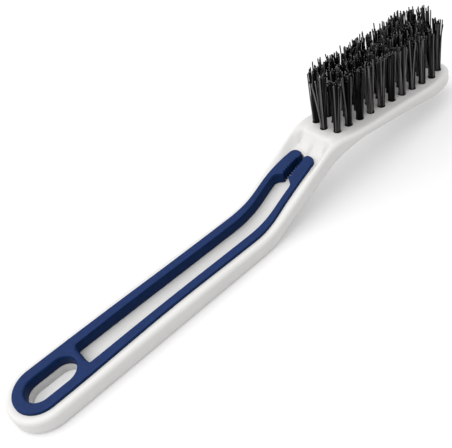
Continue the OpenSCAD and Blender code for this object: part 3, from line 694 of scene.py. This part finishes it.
def loop_grids(brush):
    """The loop round the hang hole: a band between the hole and the butt arc, legs' roots and bridge end."""
    arc_steps, side_steps, root_steps, bridge_steps = 30, 14, 4, 16
    butt, butt_way = arc((0, 0), brush.loop_r, 180, 90, arc_steps)
    flank, flank_way = side(np.linspace(0, brush.bridge_x, side_steps + 1)[1:], brush.legs_half)
    # The bridge's end starts a hair inside the flank, so that the corner between them stays sharp
    hair = 0.01
    root_y = np.linspace(flank[-1, 1] - hair, brush.slot_half_start - brush.slot_corner_r, root_steps + 1)
    end_y = np.concatenate([root_y, np.linspace(root_y[-1], 0, bridge_steps + 1)[1:]])
    outer = np.concatenate([butt, flank, np.stack([np.full(len(end_y), brush.bridge_x), end_y], -1)])
    outer_way = np.concatenate([butt_way, flank_way, np.tile([1.0, 0.0], (len(end_y), 1))])
    outer_r = np.full(len(outer), brush.tweezers_edge_r)
    outer_r[-len(end_y) :] = brush.bridge_edge_r * ease((root_y[-1] - end_y) / brush.slot_corner_r)
    inner, inner_way = hole_line(brush, 0, arc_steps, side_steps, root_steps + bridge_steps + 1)
    inner_r = np.full(len(inner), brush.loop_edge_r)
    return [band_solid(outer, outer_way, outer_r, inner, -inner_way, inner_r, brush)[0]]


def leg_grids(brush):
    """One leg and its jaw: a band between the outer side and the slot, heel, teeth and inner corner, closed
    by a fan at the bridge and a flat face at the tip. The teeth are a triangle wave across the gap between
    the jaws."""
    leg_steps, bend_steps, tooth_steps, corner_steps = 90, 6, 6, 10
    teeth_start = brush.heel_end + brush.heel_outer_r
    teeth_end = brush.jaw_tip - brush.jaw_inner_r - brush.tooth_end
    angle = np.linspace(0, math.pi / 2, bend_steps + 1)[:-1]
    slot_corner = np.stack([brush.bridge_x + brush.slot_corner_r * (1 - np.cos(angle)),
                            brush.slot_half_start - brush.slot_corner_r * (1 - np.sin(angle))], -1)
    slot_start, slot_end = brush.bridge_x + brush.slot_corner_r, brush.heel_x - brush.heel_inner_r
    slot_x = np.linspace(slot_start, slot_end, leg_steps + 1)
    slot = np.stack([slot_x, brush.slot_half(slot_x)], -1)
    heel_a = (brush.heel_x, brush.slot_half(brush.heel_x))
    heel_b = (brush.heel_end, brush.gap_half_heel)
    heel = np.concatenate([
        rounded(slot[-1], heel_a, heel_b, brush.heel_inner_r, bend_steps)[1:],
        rounded(heel_a, heel_b, (teeth_start, brush.gap_half(teeth_start)), brush.heel_outer_r, bend_steps),
    ])
    teeth_x = np.linspace(teeth_start, teeth_end, tooth_steps * brush.teeth + 1)[1:]
    phase = (teeth_x - teeth_start) / (teeth_end - teeth_start) * brush.teeth
    wave = 1 - np.abs(2 * (phase % 1) - 1)
    row = np.stack([teeth_x, brush.gap_half(teeth_x) + brush.tooth_depth * wave], -1)
    centre = (brush.jaw_tip - brush.jaw_inner_r, brush.gap_half_tip + brush.jaw_inner_r)
    corner, corner_way = arc(centre, brush.jaw_inner_r, -90, 0, corner_steps)
    plain = np.concatenate([slot_corner, slot, heel])
    inner = np.concatenate([plain, row, corner])
    inner_way = np.concatenate([outward(plain), np.tile([0.0, -1.0], (len(row), 1)), corner_way])
    inner_r = np.concatenate([
        mix(brush.slot_corner_r, brush.slot_edge_r, ease(np.linspace(0, 1, bend_steps))),
        np.full(len(slot), brush.slot_edge_r),
        np.linspace(brush.slot_edge_r, brush.tooth_edge_r, len(heel)),
        np.full(len(row), brush.tooth_edge_r),
        np.linspace(brush.tooth_edge_r, brush.tweezers_edge_r, corner_steps + 1),
    ])
    # The outer side has as many points as the inner. Past the heel they are drawn together, so that they end
    # just before the round corner
    along = np.concatenate([plain, row])[:, 0]
    flank_end = brush.corner_x - 0.4
    squeeze = (flank_end - brush.heel_end) / (teeth_end - brush.heel_end)
    flank_x = np.where(along > brush.heel_end, brush.heel_end + (along - brush.heel_end) * squeeze, along)
    flank, flank_way = side(flank_x, brush.legs_half)
    bend, bend_way = arc(
        (brush.corner_x, brush.jaw_corner_y), brush.jaw_outer_r, JAW_CORNER_START, 0, corner_steps
    )
    outer, outer_way = np.concatenate([flank, bend]), np.concatenate([flank_way, bend_way])
    outer_r = np.full(len(outer), brush.tweezers_edge_r)
    band, outside, inside = band_solid(outer, outer_way, outer_r, inner, inner_way, inner_r, brush)
    root = np.stack([band[0], np.broadcast_to(band[0].mean(0), band[0].shape)])
    tip = between(outside, inside, BAND_COLUMNS)
    return [band, root, tip]


def tuft_places(tufts):
    """Name, distance along the pad and distance from the centre line of every tuft."""
    last = tufts.outer_count - 1
    places = []
    for row, way in (("front", -1), ("back", 1)):
        for k in range(last):
            half = mix(tufts.row_half_start, tufts.row_half_end, k / (last - 1))
            places.append((f"{row}_{k + 1}", k * tufts.pitch, way * half))
        tip = (last - 1) * tufts.pitch + tufts.tip_step
        places.append((f"{row}_{last + 1}", tip, way * tufts.row_half_tip))
    for k in range(tufts.middle_count):
        places.append((f"middle_{k + 1}", k * tufts.pitch - tufts.middle_lead, 0.0))
    return places


def filament_points(along, across, brush, tufts, draw):
    """The filaments of one tuft on the pad's own axes, each a five-sided tube with a rounded end. Their feet
    lie as a sunflower's seeds: the turn grows by the golden angle, and the radius with the root of the seed's
    number."""
    total, sides, rings = tufts.filaments, 5, 7
    reach = (tufts.outer_count - 2) * tufts.pitch + tufts.tip_step
    t = along / reach
    long = tufts.bristle_len + tufts.bristle_gain * t
    long += mix(tufts.row_gain_start, tufts.row_gain_end, t) * across / tufts.row_half_end
    fade = math.exp(-(along + tufts.middle_lead) / tufts.lean_fade)
    lean = -tufts.lean_end * max(0, t) - tufts.lean_start * fade
    seed = np.arange(total)
    foot_r = (tufts.tuft_r - tufts.filament_r) * np.sqrt((seed + 0.5) / total)
    foot_turn = seed * math.pi * (3 - math.sqrt(5)) + draw.uniform(0, 2 * math.pi)
    foot = foot_r[:, None] * np.stack([np.cos(foot_turn), np.sin(foot_turn)], -1)

    # Length with a domed top to the tuft, stray of the tip, bow of the middle, and tilt of the whole tuft
    uneven = np.clip(draw.normal(size=total), -1.6, 1.6)
    height = long + tufts.uneven * uneven - tufts.dome * foot_r**2
    stray = tufts.stray * draw.normal(size=(total, 2))
    wild = draw.uniform(size=total) < tufts.wild
    away = foot / np.maximum(foot_r[:, None], 0.2)
    stray += wild[:, None] * tufts.wild_stray * (away + 0.5 * draw.normal(size=(total, 2)))
    bow = tufts.bow * draw.normal(size=(total, 2))
    slant = np.tan([lean, 0] + tufts.tilt * draw.normal(size=2))
    fan_along = tufts.fan_front if across < 0 else tufts.fan_behind
    fan_along = mix(fan_along, tufts.fan_tip, ease((t - 0.75) / 0.25))
    fan = np.array([fan_along, tufts.fan_across])

    # No tip rises out of the solid model's box
    share = height / tufts.bristle_len
    tip = foot[:, 0] * (1 + fan_along * share**FAN_POWER) + stray[:, 0] * share**STRAY_POWER
    height = np.minimum(height, brush.head_room(along + tip + height * slant[0]) - tufts.room)

    # Rings up each filament, the last ones close together and narrower for the rounded end
    level = np.concatenate([np.linspace(0, 1, rings - 1), [1.0, 1.0]])
    h = -tufts.sunk + level[None, :] * (height[:, None] + tufts.sunk)
    up = np.clip(h / tufts.bristle_len, 0, None)[..., None]
    end_below, end_share = [0.5, 0.1, 0], [1, 0.92, 0.5]
    h[:, -3:] -= end_below
    centre = foot[:, None] * (0.97 + fan * up**FAN_POWER) + stray[:, None] * up**STRAY_POWER
    centre = centre + bow[:, None] * np.sin(math.pi * up) + h[..., None] * slant
    radius = tufts.filament_r * np.ones((total, rings + 1))
    radius[:, -3:] *= end_share
    turn = np.arange(sides) * 2 * math.pi / sides + draw.uniform(0, 2 * math.pi, total)[:, None]
    spoke = np.stack([np.cos(turn), np.sin(turn)], -1)
    plan = centre[:, :, None] + radius[:, :, None, None] * spoke[:, None]
    return raised(plan, np.broadcast_to(h[:, :, None], plan.shape[:3]))


def shade_plug_points(tufts, sides=24):
    """A short dark piece with a rounded top that fills the hole between the filaments' feet, painted shade at
    the tuft's foot: rings of a radius and a height each."""
    turn = np.linspace(0, 2 * math.pi, sides, endpoint=False)
    radius = tufts.plug_r * np.array([1, 1, 0.93, 0.8])[:, None]
    height = np.tile(tufts.plug_h * np.array([-2, 0.6, 0.9, 1])[:, None], sides)
    return np.stack([radius * np.cos(turn), radius * np.sin(turn), height], -1)[None]


def on_pad(local, along, across, brush):
    """Points from the pad's own axes to the brush: turned by the pad's fall about Y at the first tuft."""
    u, h = local[..., 0] + along, local[..., 2]
    c, s = math.cos(brush.pad_down), math.sin(brush.pad_down)
    x = brush.first_tuft + u * c + h * s
    z = brush.rim_z(np.array(brush.first_tuft)) - u * s + h * c
    return np.stack([x + brush.origin, local[..., 1] + across, z], -1) * MM


def make_tuft(name, along, across, brush, tufts, draw, material):
    """One tuft as a mesh, with a random number and the share of its height as attributes of each filament:
    tubes from rings of points, each ring joined to the next and the two end rings filled."""
    filaments, shade_plug = filament_points(along, across, brush, tufts, draw), shade_plug_points(tufts)
    points, faces, start = [], [], 0
    for tubes in (filaments, shade_plug):
        index = start + np.arange(tubes[..., 0].size).reshape(tubes.shape[:3])
        turned = np.roll(index, -1, 2)
        walls = np.stack([index[:, :-1], turned[:, :-1], turned[:, 1:], index[:, 1:]], -1).reshape(-1, 4)
        faces += walls.tolist() + np.concatenate([index[:, -1], index[:, 0, ::-1]]).tolist()
        points.append(on_pad(tubes, along, across, brush).reshape(-1, 3))
        start += index.size
    mesh = bpy.data.meshes.new(name)
    mesh.from_pydata(np.concatenate(points).tolist(), [], faces)
    total, levels, sides = filaments.shape[:3]
    shade = np.repeat(draw.uniform(size=total), levels * sides)
    height = np.tile(np.repeat(np.linspace(0, 1, levels), sides), total)
    for key, values in (("filament_draw", shade), ("filament_height", height)):
        # After the filaments' values come zeros for the plug: the darkest nylon, painted shade at the tuft's
        # foot
        values = np.concatenate([values, np.zeros(len(points[1]))]).astype(np.float32)
        mesh.attributes.new(key, "FLOAT", "POINT").data.foreach_set("value", values)
    return finished(mesh, material, smooth=50)


def add(tree, kind, inputs=(), **settings):
    """Adds a node with its settings. Each input is a value, an output, or a node, whose first output is
    linked."""
    node = tree.nodes.new("ShaderNode" + kind)
    for name, value in settings.items():
        setattr(node, name, value)
    for socket, value in dict(inputs).items():
        source = value.outputs[0] if isinstance(value, bpy.types.Node) else value
        if isinstance(source, bpy.types.NodeSocket):
            tree.links.new(source, node.inputs[socket])
        else:
            node.inputs[socket].default_value = source
    return node


def new_material(name):
    """An empty node material and its tree."""
    material = bpy.data.materials.new(name)
    material.use_nodes = True
    material.node_tree.nodes.clear()
    return material, material.node_tree


def per_metre(size):
    """Noise scale on Object coordinates at which one wave is the given number of millimetres long."""
    return 1 / (size * MM)


def white_polypropylene(finish):
    """Injection-moulded white polypropylene. The eye sees a soft gloss that drifts a little over the flat
    faces, a trace of light under the surface, and a skin that isn't quite even."""
    material, tree = new_material("white_polypropylene_moulded")
    where = add(tree, "TexCoord").outputs["Object"]
    # Cooling clouds, 18 mm across, in the white and its gloss
    cloud = add(tree, "TexNoise", {"Vector": where, "Scale": per_metre(18.2), "Detail": 3})
    drift = add(tree, "MapRange", {"Value": cloud, "From Min": 0.3, "From Max": 0.7})
    dull = [c * 0.965 for c in finish.white[:3]] + [1]
    white = add(tree, "MixRGB", {"Fac": drift, "Color1": dull, "Color2": finish.white})
    gloss = add(tree, "MapRange", {"Value": cloud, "To Min": 0.3, "To Max": 0.4})
    # Flow waves of 8 mm, and the mould's grain at 0.5 mm, drawn coarser than the real 0.1 mm so that it shows
    waves = add(tree, "TexNoise", {"Vector": where, "Scale": per_metre(7.7), "Detail": 1})
    grain = add(tree, "TexNoise", {"Vector": where, "Scale": per_metre(0.5), "Detail": 2})
    both = add(tree, "MixRGB", {"Fac": 0.25, "Color1": waves, "Color2": grain})
    bump = add(tree, "Bump", {"Height": both, "Strength": 0.05, "Distance": 0.0002})
    shader = add(tree, "BsdfPrincipled", {
        "Base Color": white, "Roughness": gloss, "Normal": bump, "IOR": 1.49,
        "Subsurface Weight": 0.1, "Subsurface Radius": (1.0, 1.0, 1.0), "Subsurface Scale": 0.0004,
    })
    add(tree, "OutputMaterial", {"Surface": shader})
    return material


def navy_plastic(finish):
    """Injection-moulded navy plastic. The eye sees a satin, slightly cloudy upper face. Walls get a darker
    navy and less sheen by how far they face away from up: painted shade."""
    material, tree = new_material("navy_plastic_satin")
    where = add(tree, "TexCoord").outputs["Object"]
    up = add(tree, "SeparateXYZ", {"Vector": add(tree, "NewGeometry").outputs["Normal"]}).outputs["Z"]
    # How far a face points up: faces that point less up get the darker navy and less sheen, painted shade on
    # the walls
    top = add(tree, "MapRange", {"Value": up, "From Min": 0.6, "From Max": 0.96})
    # Pigment clouds, 1.5 mm across
    cloud = add(tree, "TexNoise", {"Vector": where, "Scale": per_metre(1.54), "Detail": 4})
    top_and_painted_wall_shade = add(tree, "MixRGB", {"Fac": top, "Color1": finish.navy_wall, "Color2": finish.navy})
    light = add(tree, "MapRange", {
        "Value": cloud, "From Min": 0.3, "From Max": 0.7, "To Min": 0.75, "To Max": 1.1,
    })
    cloudy = add(tree, "MixRGB", {"Fac": 1.0, "Color1": top_and_painted_wall_shade, "Color2": light}, blend_type="MULTIPLY")
    # Eroded grain, 0.4 mm, drawn coarser than the real 0.1 mm so that it shows
    grain = add(tree, "TexNoise", {"Vector": where, "Scale": per_metre(0.4), "Detail": 2})
    shader = add(tree, "BsdfPrincipled", {
        "Base Color": cloudy,
        "Roughness": add(tree, "MapRange", {"Value": cloud, "To Min": 0.42, "To Max": 0.55}),
        "Specular IOR Level": add(tree, "MapRange", {"Value": top, "To Min": 0.08, "To Max": 0.2}),
        "Normal": add(tree, "Bump", {"Height": grain, "Strength": 0.12, "Distance": 0.0001}),
    })
    add(tree, "OutputMaterial", {"Surface": shader})
    return material


def black_nylon(finish):
    """Extruded black nylon filament. The eye sees single strands, each a little lighter and glossier or
    darker and duller by its own random number, and satin along its length. The grey at the cut end is a
    painted highlight."""
    material, tree = new_material("black_nylon_filament")
    draw = add(tree, "Attribute", attribute_name="filament_draw").outputs["Fac"]
    height = add(tree, "Attribute", attribute_name="filament_height").outputs["Fac"]
    light = add(tree, "MapRange", {"Value": draw, "From Min": 0.5})
    shade = add(tree, "MixRGB", {"Fac": light, "Color1": finish.nylon_dark, "Color2": finish.nylon_light})
    # The top tenth of each filament's height turns grey: a painted highlight on the cut ends
    cut = add(tree, "MapRange", {"Value": height, "From Min": 0.9, "From Max": 0.99})
    shader = add(tree, "BsdfPrincipled", {
        "Base Color": add(tree, "MixRGB", {"Fac": cut, "Color1": shade, "Color2": finish.nylon_tip}),
        "Roughness": add(tree, "MapRange", {"Value": draw, "To Min": 0.4, "To Max": 0.26}),
        "Specular IOR Level": add(tree, "MapRange", {"Value": draw, "From Min": 0.35, "To Min": 0.1}),
        "IOR": 1.53,
    })
    add(tree, "OutputMaterial", {"Surface": shader})
    return material


def plated_steel(finish):
    """Cut and plated steel strip. The eye sees bright grey with fine streaks of gloss left by rolling."""
    material, tree = new_material("plated_steel_strip")
    where = add(tree, "TexCoord").outputs["Object"]
    # Rolling marks, 0.25 mm, drawn coarser than the real 0.05 mm so that they show
    marks = add(tree, "TexNoise", {"Vector": where, "Scale": per_metre(0.25), "Detail": 2})
    gloss = add(tree, "MapRange", {"Value": marks, "To Min": 0.25, "To Max": 0.4})
    shader = add(tree, "BsdfPrincipled", {"Base Color": finish.steel, "Metallic": 1, "Roughness": gloss})
    add(tree, "OutputMaterial", {"Surface": shader})
    return material


def background_rays(tree):
    """1 for the rays that show the background itself: from the camera, a mirror or a glass; 0 for the
    rest."""
    rays = add(tree, "LightPath").outputs
    either = add(tree, "Math", {0: rays["Is Camera Ray"], 1: rays["Is Glossy Ray"]}, operation="MAXIMUM")
    return add(tree, "Math", {0: either, 1: rays["Is Transmission Ray"]}, operation="MAXIMUM")


def studio_paper(finish, stage):
    """Matt white studio paper. The camera sees a little light on it besides its shade, so that shadows stay
    pale, and to the brush it throws back less light, so that lower edges stay dark."""
    material, tree = new_material("matt_studio_paper")
    seen = background_rays(tree)
    paper = add(tree, "MixRGB", {"Fac": seen, "Color1": finish.floor_bounce, "Color2": finish.floor})
    shader = add(tree, "BsdfPrincipled", {"Base Color": paper, "Roughness": 0.9, "Specular IOR Level": 0})
    part = add(tree, "Math", {0: seen, 1: stage.floor_glow}, operation="MULTIPLY")
    glow = add(tree, "Emission", {"Color": (1, 1, 1, 1), "Strength": part})
    add(tree, "OutputMaterial", {"Surface": add(tree, "AddShader", {0: shader, 1: glow})})
    return material


def check_nodes(*names):
    """Stops an operator whose nodes the frame lacks."""
    missing = [name for name in names if name not in frame["nodes"]]
    if missing:
        raise RuntimeError("The frame lacks " + ", ".join(missing))


class GROUTBRUSH_OT_body(bpy.types.Operator):
    """Build the white handle and head in one moulding"""

    bl_idname = "groutbrush.body"
    bl_label = "Handle and head"

    def execute(self, context):
        check_nodes("handle_body")
        settings = context.scene.groutbrush
        brush = Brush(settings)
        body = mesh_piece("handle_and_head", body_grids(brush), brush, white_polypropylene(settings.finish))
        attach(body, "handle")
        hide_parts("handle_body")
        return {"FINISHED"}


class GROUTBRUSH_OT_tweezers(bpy.types.Operator):
    """Build the tweezers' loop and both legs with their toothed jaws"""

    bl_idname = "groutbrush.tweezers"
    bl_label = "Tweezers"

    def execute(self, context):
        settings = context.scene.groutbrush
        brush = Brush(settings)
        navy = navy_plastic(settings.finish)
        leg = leg_grids(brush)
        pieces = (
            ("tweezers_loop_moulded", loop_grids(brush), True, "tweezers", "tweezers_loop"),
            ("leg_left_moulded", leg, False, "arm_left", "tweezers_arm_left"),
            ("leg_right_moulded", [g * [1, -1, 1] for g in leg], False, "arm_right", "tweezers_arm_right"),
        )
        check_nodes(*(node for *_, node in pieces))
        for name, grids, mirror, body, node in pieces:
            piece = mesh_piece(name, grids, brush, navy, mirror)
            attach(piece, body)
            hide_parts(node)
        return {"FINISHED"}


class GROUTBRUSH_OT_tufts(bpy.types.Operator):
    """Build the tufts of black filaments"""

    bl_idname = "groutbrush.tufts"
    bl_label = "Tufts"

    def execute(self, context):
        settings = context.scene.groutbrush
        brush, tufts = Brush(settings), measures(settings.tufts)
        nylon = black_nylon(settings.finish)
        draw = np.random.default_rng(SEED)
        places = tuft_places(tufts)
        check_nodes(*("tuft_" + place for place, *_ in places))
        for place, along, across in places:
            tuft = make_tuft("filaments_" + place, along, across, brush, tufts, draw, nylon)
            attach(tuft, "handle")
            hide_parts("tuft_" + place)
        return {"FINISHED"}


class GROUTBRUSH_OT_anchors(bpy.types.Operator):
    """Give the anchor plates in the tuft holes their plated steel"""

    bl_idname = "groutbrush.anchors"
    bl_label = "Anchor plates"

    def execute(self, context):
        check_nodes("tuft_anchors")
        anchors = frame["nodes"]["tuft_anchors"].data.materials
        anchors.clear()
        anchors.append(plated_steel(context.scene.groutbrush.finish))
        return {"FINISHED"}


class GROUTBRUSH_OT_stage(bpy.types.Operator):
    """Set up the floor, the light, the world and the camera"""

    bl_idname = "groutbrush.stage"
    bl_label = "Stage"

    def execute(self, context):
        scene, settings = context.scene, context.scene.groutbrush
        stage, objects = settings.stage, scene.collection.objects
        low, high = cad_box
        scene.view_settings.view_transform = "Standard"

        corners = [(x * FLOOR_HALF, y * FLOOR_HALF, low.z) for x, y in ((-1, -1), (1, -1), (1, 1), (-1, 1))]
        mesh = bpy.data.meshes.new("floor")
        mesh.from_pydata(corners, [], [(0, 1, 2, 3)])
        floor = finished(mesh, studio_paper(settings.finish, stage), smooth=30)

        lamp = bpy.data.lights.new("key", "AREA")
        lamp.energy, lamp.size = stage.key_power, stage.key_size
        key = bpy.data.objects.new("key", lamp)
        centre = (low + high) / 2
        key.location = centre + Vector(stage.key_place)
        key.rotation_euler = (centre - key.location).to_track_quat("-Z", "Y").to_euler()
        objects.link(key)

        scene.world = world = bpy.data.worlds.new("studio")
        world.use_nodes = True
        tree = world.node_tree
        tree.nodes.clear()
        even = add(tree, "Background", {"Color": (1, 1, 1, 1), "Strength": stage.world_strength})
        white = add(tree, "Background", {"Color": (1, 1, 1, 1), "Strength": 1})
        both = add(tree, "MixShader", {0: background_rays(tree), 1: even, 2: white})
        add(tree, "OutputWorld", {"Surface": both})

        camera_data = bpy.data.cameras.new("camera")
        camera_data.sensor_fit, camera_data.sensor_width, camera_data.lens = "HORIZONTAL", 36, stage.lens
        camera_data.clip_start = 0.01
        camera = bpy.data.objects.new("camera", camera_data)
        butt = low.x + settings.sizes.butt_r
        camera.location = (butt + stage.camera_ahead, stage.camera_side, low.z + stage.camera_up)
        camera.rotation_euler = Euler((stage.camera_tilt, stage.camera_roll, stage.camera_turn))
        objects.link(camera)
        scene.camera = camera
        return {"FINISHED"}


class GROUTBRUSH_PG_settings(bpy.types.PropertyGroup):
    """All settings of the brush."""

    sizes: bpy.props.PointerProperty(type=GROUTBRUSH_PG_sizes, name="Sizes", description="Sizes of the brush")
    tufts: bpy.props.PointerProperty(type=GROUTBRUSH_PG_tufts, name="Tufts", description="Rows of tufts")
    finish: bpy.props.PointerProperty(type=GROUTBRUSH_PG_finish, name="Finish", description="Colours")
    stage: bpy.props.PointerProperty(type=GROUTBRUSH_PG_stage, name="Stage", description="Camera and lights")


class GROUTBRUSH_PT_panel(bpy.types.Panel):
    """Operators and settings of the brush"""

    bl_label = "Grout Brush"
    bl_idname = "GROUTBRUSH_PT_panel"
    bl_space_type = "VIEW_3D"
    bl_region_type = "UI"
    bl_category = "Grout Brush"

    def draw(self, context):
        """Lists the operators, then each group's settings in a box."""
        settings = context.scene.groutbrush
        for operator in OPERATORS:
            self.layout.operator(operator.bl_idname)
        for group in (settings.sizes, settings.tufts, settings.finish, settings.stage):
            box = self.layout.box()
            for prop in group.bl_rna.properties:
                if prop.identifier not in ("rna_type", "name"):
                    box.prop(group, prop.identifier)


OPERATORS = (
    GROUTBRUSH_OT_body,
    GROUTBRUSH_OT_tweezers,
    GROUTBRUSH_OT_tufts,
    GROUTBRUSH_OT_anchors,
    GROUTBRUSH_OT_stage,
)
GROUPS = (GROUTBRUSH_PG_sizes, GROUTBRUSH_PG_tufts, GROUTBRUSH_PG_finish, GROUTBRUSH_PG_stage)
CLASSES = GROUPS + (GROUTBRUSH_PG_settings,) + OPERATORS + (GROUTBRUSH_PT_panel,)


def register():
    """Registers the classes and the settings on the scene."""
    for cls in CLASSES:
        bpy.utils.register_class(cls)
    bpy.types.Scene.groutbrush = bpy.props.PointerProperty(type=GROUTBRUSH_PG_settings)


def unregister():
    """Takes the settings and the classes away again."""
    del bpy.types.Scene.groutbrush
    for cls in reversed(CLASSES):
        bpy.utils.unregister_class(cls)


def main():
    """Registers the classes, then builds every piece and the stage."""
    register()
    bpy.ops.groutbrush.body()
    bpy.ops.groutbrush.tweezers()
    bpy.ops.groutbrush.tufts()
    bpy.ops.groutbrush.anchors()
    bpy.ops.groutbrush.stage()


if __name__ == "__main__":
    main()
